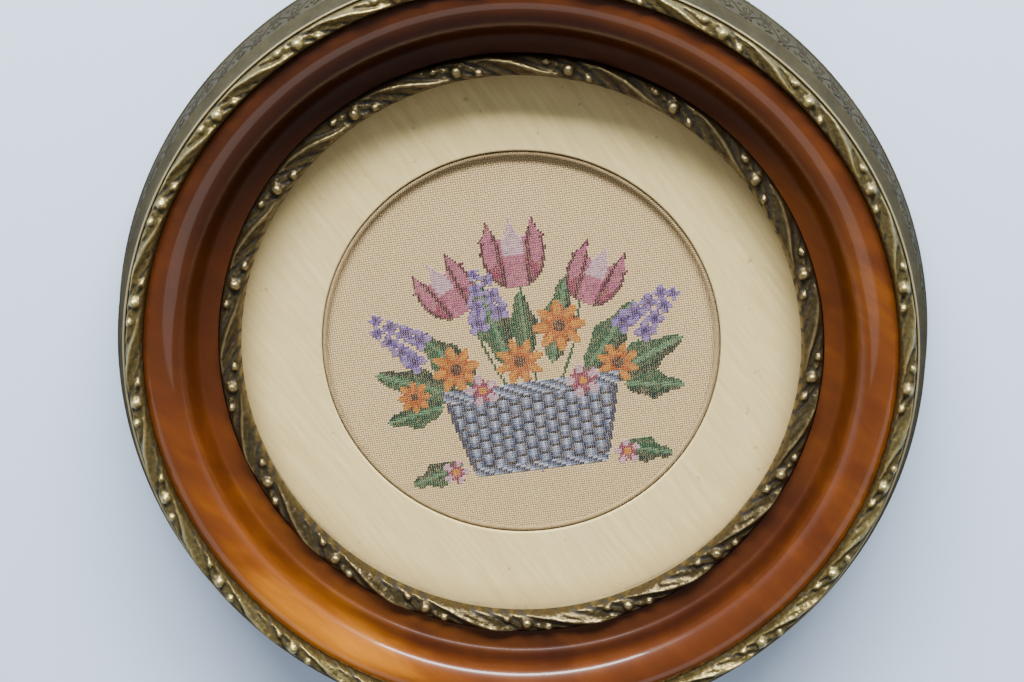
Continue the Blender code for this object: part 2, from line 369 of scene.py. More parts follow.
sideShape = {
    "steps": 240,
    "rim": (149.1 * mm, 149.9 * mm),        # inner and outer radius
    "ridge": (153.6 * mm, 26.4 * mm),
    "foot": (157.3 * mm, 5.9 * mm),
    "tones": ((77, 72, 53), (45, 42, 30)),
    # a painted highlight along the top of the rim, and how far down it reaches
    "highlightTone": (150, 138, 104), "highlightDepth": 1.1 * mm,
    "scrollCopies": 56,
    "scrollWire": 0.7 * mm,
    "scrollRise": 0.22 * mm,
    "scrollTones": ((62, 55, 34), (34, 30, 18)),
}


def plainGilt(name, tones, roughness, metallic, specular, rim=None):
    # Where rim is given, as a height and a colour, the metal above it gets that colour as a painted
    # highlight.
    gilt = Finish(name, roughness=roughness, metallic=metallic)
    gilt.shader.inputs["Specular IOR Level"].default_value = specular
    patch = gilt.noise(gilt.place(), 70.0, 4.0, 0.65)
    fine = gilt.noise(gilt.place(), 500.0, 3.0, 0.7)
    body, dark = (tone(*shade) for shade in tones)
    color = gilt.blend((patch * 0.6 + fine * 0.4 - 0.32) * 1.6, dark, body)
    if rim:
        height, highlightTone = rim
        z = gilt.axes(gilt.place())[2]
        # Painted highlight above the given height.
        wearAndHighlight = ((z - height) / (0.5 * mm)).clamped()
        color = gilt.blend(wearAndHighlight * (0.6 + patch * 0.4), color, tone(*highlightTone))
    gilt.feed("Base Color", color)
    gilt.feed("Roughness", roughness - 0.08 + patch * 0.2)
    gilt.bump(fine * 0.6 + patch * 0.4, 0.1 * mm, 0.4)
    return gilt.material


def sideProfile():
    outer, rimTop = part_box("side_band")[1][0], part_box("side_band")[1][2]
    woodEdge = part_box("wood_roll")[1][0] + gap
    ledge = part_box("outer_ornament")[0][2] - gap
    rimInner, rimOuter = sideShape["rim"]
    (ridgeR, ridgeZ), (footR, footZ) = sideShape["ridge"], sideShape["foot"]
    profile = [(woodEdge, ledge), (rimInner, ledge), (rimInner, rimTop - 0.3 * mm)]
    profile += edgePoints(((rimInner + rimOuter) / 2, rimTop - 0.4 * mm), 0.4 * mm, 160, 0, 7)
    coveFoot = (ridgeR - 0.5 * mm, ridgeZ + 0.6 * mm)
    profile += curvePoints((rimOuter, rimTop - 0.8 * mm), (rimOuter, rimTop - 4.0 * mm),
                           (ridgeR - 2.4 * mm, ridgeZ + 2.6 * mm), coveFoot, 14)
    profile += edgePoints((ridgeR - 0.30 * mm, ridgeZ), 0.3 * mm, 70, -60, 6)
    profile += [(ridgeR - 0.1 * mm, ridgeZ - 0.8 * mm), (footR - 0.1 * mm, footZ + 0.3 * mm)]
    profile += edgePoints((outer - 0.8 * mm, footZ - 1.2 * mm), 0.8 * mm, 80, 0, 6)
    # The back edge slopes in to the flat back.
    profile += [(outer, 3.0 * mm), (outer - 0.7 * mm, 1.2 * mm), (outer - 2.1 * mm, 0.0), (woodEdge, 0.0)]
    return profile


def scrollLines():
    # One repeat of the stamped vine. Each line has its points, as (share of the repeat, share
    # of the band's height), and its width. Each leaf has its place, its lean, and how far from
    # the middle it starts and ends.
    leaves = ((0.06, 0.5, 0.2, 0.3), (0.42, -0.5, 0.2, 0.3), (0.12, 0.9, -0.44, -0.1),
              (0.38, -0.9, -0.42, -0.1), (0.25, 0.5, -0.47, -0.12))
    lines = []
    for start, flip in ((0.0, 1), (0.5, -1)):
        vine = [(start + t * 0.5, 0.5 + flip * 0.26 * sin(pi * t)) for t in np.linspace(0, 1, 9)]
        lines.append((vine, 1.0))
        curl = []
        for t in np.linspace(0, 1, 12):
            angle = flip * (-0.5 * pi + t * 2.3 * pi)
            reach = 0.30 * (1 - 0.78 * t)
            curl.append((start + 0.25 + 0.462 * reach * cos(angle), 0.5 - flip * 0.10 + reach * sin(angle)))
        lines.append((curl, 0.85))
        for place, lean, low, high in leaves:
            leaf = [(start + place + lean * 0.10 * t, 0.5 - flip * (low + (high - low) * t))
                    for t in np.linspace(0, 1, 4)]
            lines.append((leaf, 1.3))
    return lines


def scrollSector(material):
    # Each line becomes a low rounded strip, narrower at its ends, that lies on the band.
    section = ((-1.0, -0.15), (-0.55, 0.6), (0.0, 1.0), (0.55, 0.6), (1.0, -0.15))
    ridgeR, ridgeZ = sideShape["ridge"]
    footR, footZ = sideShape["foot"]
    low, high = footZ + 0.8 * mm, ridgeZ - 1.2 * mm
    sector = 2 * pi / sideShape["scrollCopies"]
    vertices, faces = [], []
    for line, width in scrollLines():
        count = len(line)
        places = []
        for share, level in line:
            height = low + (high - low) * level
            radius = ridgeR - 0.1 * mm + (footR - ridgeR) * (ridgeZ - height) / (ridgeZ - footZ)
            places.append((-share * sector, height, radius))
        first = len(vertices)
        for i, (angle, height, radius) in enumerate(places):
            before, after = places[max(i - 1, 0)], places[min(i + 1, count - 1)]
            run, rise = (after[0] - before[0]) * radius, after[1] - before[1]
            size = hypot(run, rise)
            taper = width * sideShape["scrollWire"] * (0.35 + 0.65 * sin(pi * (i + 0.6) / (count + 0.2)))
            for offset, lift in section:
                a = angle - rise / size * offset * taper / radius
                h = height + run / size * offset * taper
                r = radius + sideShape["scrollRise"] * lift
                vertices.append((r * cos(a), r * sin(a), h))
        for i in range(count - 1):
            for k in range(len(section) - 1):
                a = first + i * len(section) + k
                faces.append((a, a + len(section), a + len(section) + 1, a + 1))
    mesh = bpy.data.meshes.new("scrollSector")
    mesh.from_pydata(vertices, [], faces)
    return addPiece("stampedScrolls", mesh, material)


def makeSide():
    s = sideShape
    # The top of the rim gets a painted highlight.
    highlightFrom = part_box("side_band")[1][2] - s["highlightDepth"]
    bronze = plainGilt("greyBronze", s["tones"], 0.6, 0.05, 0.04, (highlightFrom, s["highlightTone"]))
    side = turnRing("frameSide", sideProfile(), s["steps"], bronze)
    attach(side, "root")
    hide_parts("side_band")
    scroll = plainGilt("scrollBronze", s["scrollTones"], 0.6, 0.05, 0.04)
    vine = scrollSector(scroll)
    bakeTree(vine, copiesRoundTree(scroll), {"Copies": s["scrollCopies"], "First": 0.0})
    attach(vine, "root")
    print("side done")


# The wood

woodShape = {
    "steps": 360,
    "inner": (116.7 * mm, 17.2 * mm),
    "crease": 124.6 * mm,
    "rebate": 121.2 * mm,                       # radius of the recess for mat and boards
    "wall": (72, 7.0 * mm),                     # slope in degrees, and how long it is kept
    "shoulder": (129.3 * mm, 30.8 * mm),
    "shoulderSlope": 43, "shoulderPulls": (3.0 * mm, 5.0 * mm),
    "edgeTop": 33.8 * mm, "edge": (-38, 4.0 * mm),
}

woodLook = {
    "tones": ((0.0, (62, 30, 10)), (0.35, (82, 40, 12)), (0.5, (98, 50, 13)),
              (0.64, (122, 67, 13)), (0.8, (168, 102, 17)), (1.0, (198, 130, 28))),
    "knot": (68, 28, 9),
    # the colour of the painted shade in the crease
    "crease": (30, 12, 9),
    "coat": 0.75, "coatRoughness": 0.065,
    # Zones that reach the first length outside the crease, and fade out over the second
    "slopeZone": (0.8 * mm, 1.4 * mm), "wallZone": (4.2 * mm, 2.8 * mm), "steepZone": (5.2 * mm, 1.5 * mm),
    "rimFrom": 135.0 * mm, "rimFade": 6.0 * mm,
}


def amberWood(crease):
    # Painted light and shade: darker towards the picture's top, and painted shade in the crease. The slope
    # inside it is duller than the roll.
    look = woodLook
    wood = Finish("amberWood", coat=look["coat"], coatRoughness=look["coatRoughness"])
    wood.shader.inputs["Specular IOR Level"].default_value = 0.15
    x, y, _ = wood.axes(wood.place())
    radius = (x * x + y * y) ** 0.5
    slope, wall, steep = (((crease + reach - radius) / fade).clamped()
                          for reach, fade in (look["slopeZone"], look["wallZone"], look["steepZone"]))
    rim = ((radius - look["rimFrom"]) / look["rimFade"]).clamped()
    low = (y * -7.0).clamped()
    figure = wood.noise(wood.place(scale=(1.0, 5.0, 5.0), turn=-42), 9.0, 4.0, 0.6)
    streak = wood.noise(wood.place(scale=(1.0, 16.0, 16.0), turn=-50), 16.0, 3.0, 0.6)
    cloud = wood.noise(wood.place(), 7.0, 2.0)
    mixed = figure * 0.5 + cloud * 0.38 + streak * 0.12
    # Painted light and shade: lighter towards the foot, to the right, and at the lower left and upper right
    # of the roll
    fall = 0.42 - y * 2.2 + x * 0.4 + x * y * (28.0 - rim * 20.0) - (low ** 4) * 0.45
    color = wood.ramp(fall + (mixed - 0.5) * 1.3, [(stop, tone(*shade)) for stop, shade in look["tones"]])
    grain = wood.noise(wood.place(scale=(1.0, 2.2, 1.0), turn=-42), 26.0, 2.0)
    knots = wood.ramp(grain, [(0.60, (0, 0, 0)), (0.72, (1, 1, 1))])
    color = wood.blend(knots * 0.45, color, tone(*look["knot"]))
    # Painted shade in the crease and the wall above it: a little all round, and much more towards the foot,
    # where the inner ornament's shadow falls.
    depth = wall * (0.18 + low * 0.76) - slope * low * 0.25
    wood.feed("Base Color", wood.blend(depth, color, tone(*look["crease"])))
    wood.feed("Roughness", 0.25 + cloud * 0.12 + slope * 0.2)
    wood.feed("Coat Weight", look["coat"] - steep * 0.6 - slope * 0.1)
    wood.bump(streak * 0.6 + figure * 0.4, 0.04 * mm, 0.25)
    return wood.material


def heading(slope, length):
    return length * Vector((cos(radians(slope)), sin(radians(slope))))


def makeWood():
    # The roll climbs steeply to its shoulder and rounds over from there.
    s = woodShape
    outer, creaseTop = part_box("wood_roll")[1][0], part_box("wood_slope")[1][2]
    (innerR, innerZ), crease = s["inner"], s["crease"]
    rebateR, rebateTop = s["rebate"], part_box("mat")[1][2] + gap
    foot = Vector((crease + 0.1 * mm, creaseTop + 0.4 * mm))
    shoulder, edge = Vector(s["shoulder"]), Vector((outer, s["edgeTop"]))
    wall = curvePoints(foot, foot + heading(*s["wall"]),
                       shoulder - heading(s["shoulderSlope"], s["shoulderPulls"][0]), shoulder, 22)
    crown = curvePoints(shoulder, shoulder + heading(s["shoulderSlope"], s["shoulderPulls"][1]),
                        edge - heading(*s["edge"]), edge, 30)
    slopeEnd = (crease - 1.4 * mm, creaseTop - 0.3 * mm)
    profile = curvePoints((innerR, innerZ), (innerR + 2.5 * mm, innerZ + 0.1 * mm),
                          (crease - 3.2 * mm, creaseTop - 0.7 * mm), slopeEnd, 8)
    # A small hollow rounds the crease between slope and roll.
    profile += curvePoints(profile.pop(), (crease - 0.5 * mm, creaseTop - 0.1 * mm),
                           (crease + 0.2 * mm, creaseTop + 0.7 * mm), wall[3], 7)
    profile += wall[4:-1] + crown
    profile += [(outer, 0.0), (rebateR, 0.0), (rebateR, rebateTop), (innerR, rebateTop)]
    wood = turnRing("frameWood", profile, s["steps"], amberWood(crease), 50)
    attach(wood, "root")
    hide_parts("wood_roll", "wood_slope")
    print("wood done")


# The leaf-and-bead rings

leafBead = {
    "along": 92, "across": 30,              # grid of one repeat
    # Each bead's place along the repeat and across the ring, and its radius in millimetres
    "beads": [(-0.20, -0.42, 1.5), (0.0, 0.0, 2.15), (0.20, 0.42, 1.5), (0.112, 0.26, 0.8)],
    "leafStart": 0.07, "leafLength": 0.82, "leafSweep": 0.70, "leafWidth": 0.56,
    "leafHeight": 2.2, "peak": 0.35,        # the fold's top, as a share of half the leaf's width
    "flutes": 6, "fluteRise": 0.6,
    "crumple": 0.08,                        # millimetres of unevenness
    "edgeBand": 0.3,
}

# firstBead is in degrees, and wear is how many rounds the relief is softened.
ornamentRings = (
    {"name": "outerLeaves", "node": "outer_ornament", "inner": 142.35 * mm, "outer": 149.05 * mm,
     "arch": 4.7 * mm, "repeats": 23, "firstBead": 5.1, "wear": 3, "gilt": "agedGilt"},
    {"name": "innerLeaves", "node": "inner_ornament", "inner": 108.0 * mm, "outer": 116.65 * mm,
     "arch": 3.8 * mm, "repeats": 17, "firstBead": 9.2, "wear": 2, "gilt": "agedGiltDull"},
)

giltTones = {                               # in the hollows with painted shade, between, and where it is worn bright with a painted highlight
    "agedGilt": ((44, 39, 24), (124, 110, 66), (178, 162, 106)),
    "agedGiltDull": ((36, 31, 21), (92, 79, 50), (146, 132, 92)),
}


def agedGilt(name):
    gilt = Finish(name)
    deep, body, wearAndHighlight = (tone(*shade) for shade in giltTones[name])
    hollow = gilt.attribute("hollow")
    crest = gilt.attribute("crest")
    patch = gilt.noise(gilt.place(), 120.0, 4.0, 0.65)
    crumple = gilt.noise(gilt.place(), 420.0, 3.0, 0.6)
    fine = gilt.noise(gilt.place(), 900.0, 2.0)
    # Painted shade in the hollows, and wear with a painted highlight on the crests.
    shadow = (hollow * 1.2 + (patch - 0.5) * 0.55).clamped()
    shine = (crest * 1.1 + (patch - 0.55) * 0.5).clamped()
    mottled = gilt.blend((patch * 1.6 - 0.4).clamped(), body, tuple(c * 0.55 for c in body))
    gilt.feed("Base Color", gilt.blend(shadow, gilt.blend(shine, mottled, wearAndHighlight), deep))
    gilt.feed("Metallic", 0.9 - shadow * 0.6)
    gilt.feed("Roughness", 0.34 + shadow * 0.35 + (fine - 0.5) * 0.12)
    gilt.bump(crumple * 0.8 + fine * 0.2, 0.9 * mm, 0.6)
    return gilt.material


def bell(value, middle, width):
    return np.exp(-((value - middle) / width) ** 2)


def ornamentHeight(along, across, halfWidth, repeatLength):
    # Heights in millimetres over the low arch. Both places are arrays.
    s = leafBead
    t = np.mod(along - s["leafStart"], 1.0) / s["leafLength"]
    inside = t < 1.0
    t = np.clip(t, 0.0, 1.0)
    middle = -s["leafSweep"] * np.cos(pi * t)
    wide = np.maximum(s["leafWidth"] * np.sin(pi * t) ** 0.6, 1e-3)
    q = (across - middle) / wide
    low = np.clip((q + 1) / (1 + s["peak"]), 0, 1) ** 0.8
    fall = np.clip((1 - q) / (1 - s["peak"]), 0, 1) ** 0.6
    fold = np.where(q < s["peak"], low, fall) * (np.abs(q) < 1)
    veins = 0.4 * bell(q, s["peak"], 0.16) - 0.3 * bell(q, -0.15, 0.16) - 0.15 * bell(q, -0.6, 0.12)
    leaf = np.where(inside, (s["leafHeight"] * fold + veins * (np.abs(q) < 1)) * np.sin(pi * t) ** 0.4, 0.0)
    flute = s["fluteRise"] * (0.5 + 0.5 * np.sin(2 * pi * (s["flutes"] * along - 1.2 * across)))
    height = np.maximum(leaf + 0.5 * flute * (leaf > 0.3), flute)
    for place, side, radius in s["beads"]:
        ahead = np.mod(along - place + 0.5, 1.0) - 0.5
        away = np.hypot(ahead * repeatLength, (across - side) * halfWidth)
        dome = np.sqrt(np.clip(radius ** 2 - away ** 2, 0, None)) + 0.3 * radius * (away < radius)
        height = np.maximum(height, np.maximum(dome, 0.3 * bell(away, radius * 1.4, 0.25)))
    rail = s["edgeBand"] * bell(np.abs(across), 0.93, 0.035)
    return np.maximum(height, rail)


def blurred(values, rounds):
    # Softens the relief. The last row meets the first, as the repeats do.
    for _ in range(rounds):
        values = (np.roll(values, 1, 0) + np.roll(values, -1, 0) + 2 * values) / 4
        padded = np.pad(values, ((0, 0), (1, 1)), mode="edge")
        values = (padded[:, :-2] + padded[:, 2:] + 2 * values) / 4
    return values


def ornamentSector(ring):
    # One repeat as a closed loft. Each point keeps how hollow or raised it is, for the gilt.
    rows, columns = leafBead["along"], leafBead["across"]
    inner, outer = ring["inner"], ring["outer"]
    middle, half = (inner + outer) / 2, (outer - inner) / 2
    pitch = 2 * pi / ring["repeats"]
    along = (np.arange(rows) / rows)[:, None] - 0.3
    # The columns lie a little closer together near the edges.
    even = np.linspace(-1, 1, columns + 1)[None, :]
    crowded = np.sin(np.linspace(-pi / 2, pi / 2, columns + 1))[None, :]
    across = crowded * 0.35 + even * 0.65
    high = blurred(ornamentHeight(along, across, half / mm, middle * pitch / mm), ring["wear"])
    crumple = blurred(np.random.default_rng(ring["repeats"]).normal(0, 1, high.shape), 3)
    high = high + leafBead["crumple"] * crumple / crumple.std()
    edge = np.abs(across)
    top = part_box(ring["node"])[0][2] + ring["arch"] * (1 - edge ** 7) + high * mm * (1 - edge ** 14)
    soft = blurred(high, 12)
    hollow = np.clip((soft - high) * 1.5 + 0.55 * (high < 0.2), 0, 1)
    crest = np.clip((high - soft) * 1.8, 0, 1)
    vertices, hollows, crests = [], [], []
    for k in range(rows + 1):
        i = k % rows                            # the last row meets the next repeat's first
        angle = (along[i, 0] + k // rows) * pitch
        for j in range(columns + 1):
            radius = middle + half * across[0, j]
            vertices.append((radius * cos(angle), radius * sin(angle), top[i, j]))
            hollows.append(hollow[i, j])
            crests.append(crest[i, j])
    faces = []
    width = columns + 1
    for a in range(0, rows * width, width):
        for j in range(a, a + columns):
            faces.append((j, j + 1, j + width + 1, j + width))
        faces.append((a + columns, a, a + width, a + width + columns))
    mesh = bpy.data.meshes.new(ring["name"])
    mesh.from_pydata(vertices, [], faces)
    for label, data in (("hollow", hollows), ("crest", crests)):
        layer = mesh.attributes.new(label, "FLOAT", "POINT")
        layer.data.foreach_set("value", np.array(data, dtype=np.float32))
    return mesh


def makeOrnaments():
    for ring in ornamentRings:
        gilt = agedGilt(ring["gilt"])
        leaves = addPiece(ring["name"], ornamentSector(ring), gilt)
        bakeTree(leaves, copiesRoundTree(gilt), {
            "Copies": ring["repeats"], "First": radians(ring["firstBead"])})
        leaves.data.shade_smooth()
        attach(leaves, "root")
        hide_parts(ring["node"])
    print("ornament done")


# The sight lip

lipShape = {
    "foot": 110.3 * mm, "edge": 108.8 * mm,
    "steps": 300,
    "tones": ((176, 162, 120), (120, 106, 72)),
}


def makeLip():
    low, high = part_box("sight_lip")
    outer = high[0]
    foot, edge = lipShape["foot"], lipShape["edge"]
    profile = [(edge + 0.3 * mm, high[2]), (outer, high[2]), (outer, low[2]), (foot, low[2])]
    profile += curvePoints((foot - 0.3 * mm, low[2] + 0.4 * mm), (foot + 0.9 * mm, low[2] + 2.5 * mm),
                           (edge + 1.6 * mm, high[2] - 3.5 * mm), (edge, high[2] - 1.2 * mm), 12)
    profile += edgePoints((edge + 0.3 * mm, high[2] - 0.5 * mm), 0.4 * mm, 200, 110, 4)
    khaki = plainGilt("khakiGilt", lipShape["tones"], 0.45, 0.45, 0.25)
    lip = turnRing("sightLip", profile, lipShape["steps"], khaki, 45)
    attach(lip, "root")
    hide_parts("sight_lip")
    print("lip done")


# The back board, and the mat with its cloth

boardTones = ((120, 108, 88), (164, 150, 126))

matShape = {
    "window": 77.9 * mm,
    "cloth": 0.4 * mm,                      # its thickness
    "edge": 0.8 * mm,                       # roundness at the window
    "steps": 300,
}

matLook = {
    "weave": 0.42 * mm,
    "tones": ((0.25, (194, 171, 106)), (0.5, (217, 194, 128)), (0.75, (235, 213, 150))),
    "stain": (204, 182, 136), "speck": (120, 100, 70),
    "towardsFrame": (150, 128, 88), "towardsFrameFrom": 97.0 * mm, "towardsFrameWidth": 14.0 * mm,
}


def boardFinish():
    board = Finish("greyBoard", roughness=0.9)
    pulp = board.noise(board.place(), 350.0, 4.0, 0.7)
    cloud = board.noise(board.place(), 20.0, 3.0)
    dark, pale = (tone(*shade) for shade in boardTones)
    board.feed("Base Color", board.blend(pulp * 0.5 + cloud * 0.5, dark, pale))
    board.bump(pulp, 0.1 * mm, 0.3)
    return board.material


def makeBack():
    board = bpy.data.objects["backing_board"]
    board.data.materials.clear()
    board.data.materials.append(boardFinish())
    print("back done")


def matClothFinish():
    # Fine weave with slanting streaks, a few specks, and a darker tone towards the frame.
    look = matLook
    cloth = Finish("creamMatCloth", roughness=0.82, sheen=0.2)
    spot = cloth.place(scale=(1 / look["weave"],) * 3, turn=2)
    across, along, _ = cloth.axes(spot)
    weave = ((across * pi).sine() * (along * pi).sine() * 1.6 + 0.5).clamped()
    streak = cloth.noise(cloth.place(scale=(1.0, 12.0, 1.0), turn=-62), 42.0, 3.0, 0.6)
    thread = cloth.noise(cloth.place(scale=(1.0, 30.0, 1.0), turn=2), 90.0, 2.0, 0.6)
    stain = cloth.noise(cloth.place(), 11.0, 4.0, 0.6)
    speck = cloth.ramp(cloth.noise(cloth.place(), 210.0, 2.0, 0.4), [(0.73, (0, 0, 0)), (0.76, (1, 1, 1))])
    color = cloth.ramp(weave * 0.3 + streak * 0.6 + thread * 0.1,
                       [(stop, tone(*shade)) for stop, shade in look["tones"]])
    color = cloth.blend(((stain - 0.5) * 1.6).clamped(), color, tone(*look["stain"]))
    x, y, _ = cloth.axes(cloth.place())
    radius = (x * x + y * y) ** 0.5
    # Darker over the last stretch towards the frame.
    nearFrame = ((radius - look["towardsFrameFrom"]) / look["towardsFrameWidth"]).clamped() ** 2
    color = cloth.blend(nearFrame * 0.75, color, tone(*look["towardsFrame"]))
    cloth.feed("Base Color", cloth.blend(speck * 0.4, color, tone(*look["speck"])))
    cloth.bump(weave * 0.7 + thread * 0.3, 0.07 * mm, 0.6)
    return cloth.material


def makeMat():
    low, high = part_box("mat")
    window, edge = matShape["window"], matShape["edge"]
    outer = high[0]
    under = high[2] - matShape["cloth"]
    boardTop, boardEdge = under - 0.05 * mm, window + 0.2 * mm
    profile = [(outer, boardTop), (outer, low[2]), (boardEdge, low[2])]
    profile += edgePoints((boardEdge + edge, boardTop - edge), edge, 180, 90, 7)
    board = turnRing("matBoard", profile, matShape["steps"], bpy.data.materials["greyBoard"], 60)
    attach(board, "root")
    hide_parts("mat")
    # The cloth lies over the board and turns down a little at the window.
    profile = [(outer, high[2]), (outer, under), (window + edge, under)]
    profile += edgePoints((window + edge, high[2] - edge), edge, 180, 90, 7)
    cloth = turnRing("matCloth", profile, matShape["steps"], matClothFinish(), 60)
    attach(cloth, "root")
    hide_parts("mat")
    print("mat done")


# The cord round the window

cordShape = {
    "strandRadius": 0.62 * mm,
    "middle": 76.75 * mm,
    "strands": 3, "twists": 170,
    "sides": 6, "stepsPerTwist": 9,
    "tones": ((112, 90, 50), (178, 153, 102)),
}


def cordFinish():
    cord = Finish("brownGoldCord", roughness=0.5, sheen=0.3)
    band = cord.noise(cord.place(), 500.0, 3.0, 0.6)
    slow = cord.noise(cord.place(), 40.0, 2.0)
    dark, pale = (tone(*shade) for shade in cordShape["tones"])
    cord.feed("Base Color", cord.blend(band * 0.7 + slow * 0.3, dark, pale))
    cord.bump(band, 0.12 * mm, 0.5)
    return cord.material


def cordRing(material, base):
    # Fine strands laid round each other, one turn of the window.
    s = cordShape
    steps = s["twists"] * s["stepsPerTwist"]
    lay = s["strandRadius"] * 0.72
    centre = base + lay + s["strandRadius"]
    vertices, faces = [], []
    for strand in range(s["strands"]):
        first = len(vertices)
        for k in range(steps):
            around = 2 * pi * k / steps
            twist = 2 * pi * (s["twists"] * k / steps + strand / s["strands"])
            r0, z0 = s["middle"] + lay * cos(twist), centre + lay * sin(twist)
            for i in range(s["sides"]):
                a = 2 * pi * i / s["sides"]
                r, z = r0 + s["strandRadius"] * cos(a), z0 + s["strandRadius"] * sin(a)
                vertices.append((r * cos(around), r * sin(around), z))
        for k in range(steps):
            a, b = first + k * s["sides"], first + ((k + 1) % steps) * s["sides"]
            for i in range(s["sides"]):
                j = (i + 1) % s["sides"]
                faces.append((a + i, a + j, b + j, b + i))
    mesh = bpy.data.meshes.new("windowCord")
    mesh.from_pydata(vertices, [], faces)
    faceOut(mesh)
    return addPiece("windowCord", mesh, material)


def makeCord():
    ring = cordRing(cordFinish(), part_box("mat")[0][2])
    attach(ring, "root")
    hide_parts("window_cord")
    print("cord done")


# The canvas and its stitches

canvasShape = {
    "pitch": 0.907 * mm,                    # 28 threads to 25.4 mm
    "steps": 200,
    "stitchLength": 1.22 * mm,
    "stitchWidth": 0.74 * mm,
    "stitchHeight": 0.34 * mm,
    "slant": 45,                            # degrees
    "unevenness": 0.10,                     # how far a stitch may be turned from the slant
    "sizes": (0.9, 1.1),
    "dyeStrength": 0.52,
    "dyeSpread": 0.13,
}

canvasLook = {
    "thread": (230, 202, 148), "underThread": (196, 165, 112),
    "hole": (124, 102, 64), "stain": (186, 160, 118),
}

dyes = {
    "slate": (58, 68, 96), "steel": (100, 114, 146), "mist": (152, 166, 196), "pearl": (214, 222, 238),
    "ink": (36, 38, 52),
    "plum": (98, 26, 58), "rose": (164, 54, 94), "pink": (206, 108, 140), "blush": (242, 198, 208),
    "violet": (64, 42, 114), "lilac": (112, 82, 164), "mauve": (168, 142, 208),
    "forest": (12, 54, 34), "leaf": (28, 92, 56), "sage": (92, 148, 104),
    "amber": (212, 104, 8), "gold": (240, 154, 38), "brown": (92, 46, 24),
}

woolGroups = {
    "stitchedBasket": ("slate", "steel", "mist", "pearl", "ink"),
    "stitchedBlossoms": ("plum", "rose", "pink", "blush", "violet", "lilac", "mauve",
                         "amber", "gold", "brown"),
    "stitchedLeaves": ("forest", "leaf", "sage"),
}


def evenweave(pitch):
    # A plain weave: two sets of threads that take turns on top.
    look = {name: tone(*shade) for name, shade in canvasLook.items()}
    cloth = Finish("evenweave", roughness=0.88, sheen=0.2)
    sway = cloth.noise(cloth.place(), 60.0, 2.0) * 0.5
    across, along, _ = cloth.axes(cloth.place(scale=(1 / pitch,) * 3))
    across, along = ((across + sway) * pi).sine(), ((along + sway) * pi).sine()
    warp, weft = abs(across), abs(along)
    over = (across * along * 2.2 + 0.5).clamped()
    # The thread on top is rounded, and the hole between threads is deep, painted dark as painted shade.
    crown = (warp ** 0.5) * (weft ** 0.5)
    slubAcross = cloth.noise(cloth.place(scale=(1.0, 14.0, 1.0)), 130.0, 3.0, 0.6)
    slubAlong = cloth.noise(cloth.place(scale=(14.0, 1.0, 1.0)), 130.0, 3.0, 0.6)
    stain = cloth.noise(cloth.place(), 9.0, 4.0, 0.6)
    # The thread on top is painted lighter than the one underneath: a painted sheen and shade.
    shade = over * 0.5 + slubAcross * 0.25 + slubAlong * 0.25
    yarn = cloth.blend(shade, look["underThread"], look["thread"])
    yarn = cloth.blend((stain - 0.52) * 1.2, yarn, look["stain"])
    hole = ((1 - crown) * 1.5 - 0.15).clamped() * 0.8
    cloth.feed("Base Color", cloth.blend(hole, yarn, look["hole"]))
    cloth.bump(crown * 0.75 + over * warp * 0.25, pitch * 0.28, 1.0)
    return cloth.material


def stitchedWool(name):
    wool = Finish(name, roughness=0.8, sheen=0.08)
    dyed = wool.attribute("dye", out=0)
    fibre = wool.noise(wool.place(), 2600.0, 3.0, 0.7)
    patch = wool.noise(wool.place(), 500.0, 2.0)
    soft = wool.blend(fibre * 0.55 + patch * 0.35 - 0.18, (0.55, 0.55, 0.55), (1.35, 1.35, 1.35))
    wool.feed("Base Color", wool.blend(1.0, dyed, soft, "MULTIPLY"))
    wool.bump(fibre, 0.1 * mm, 0.6)
    return wool.material


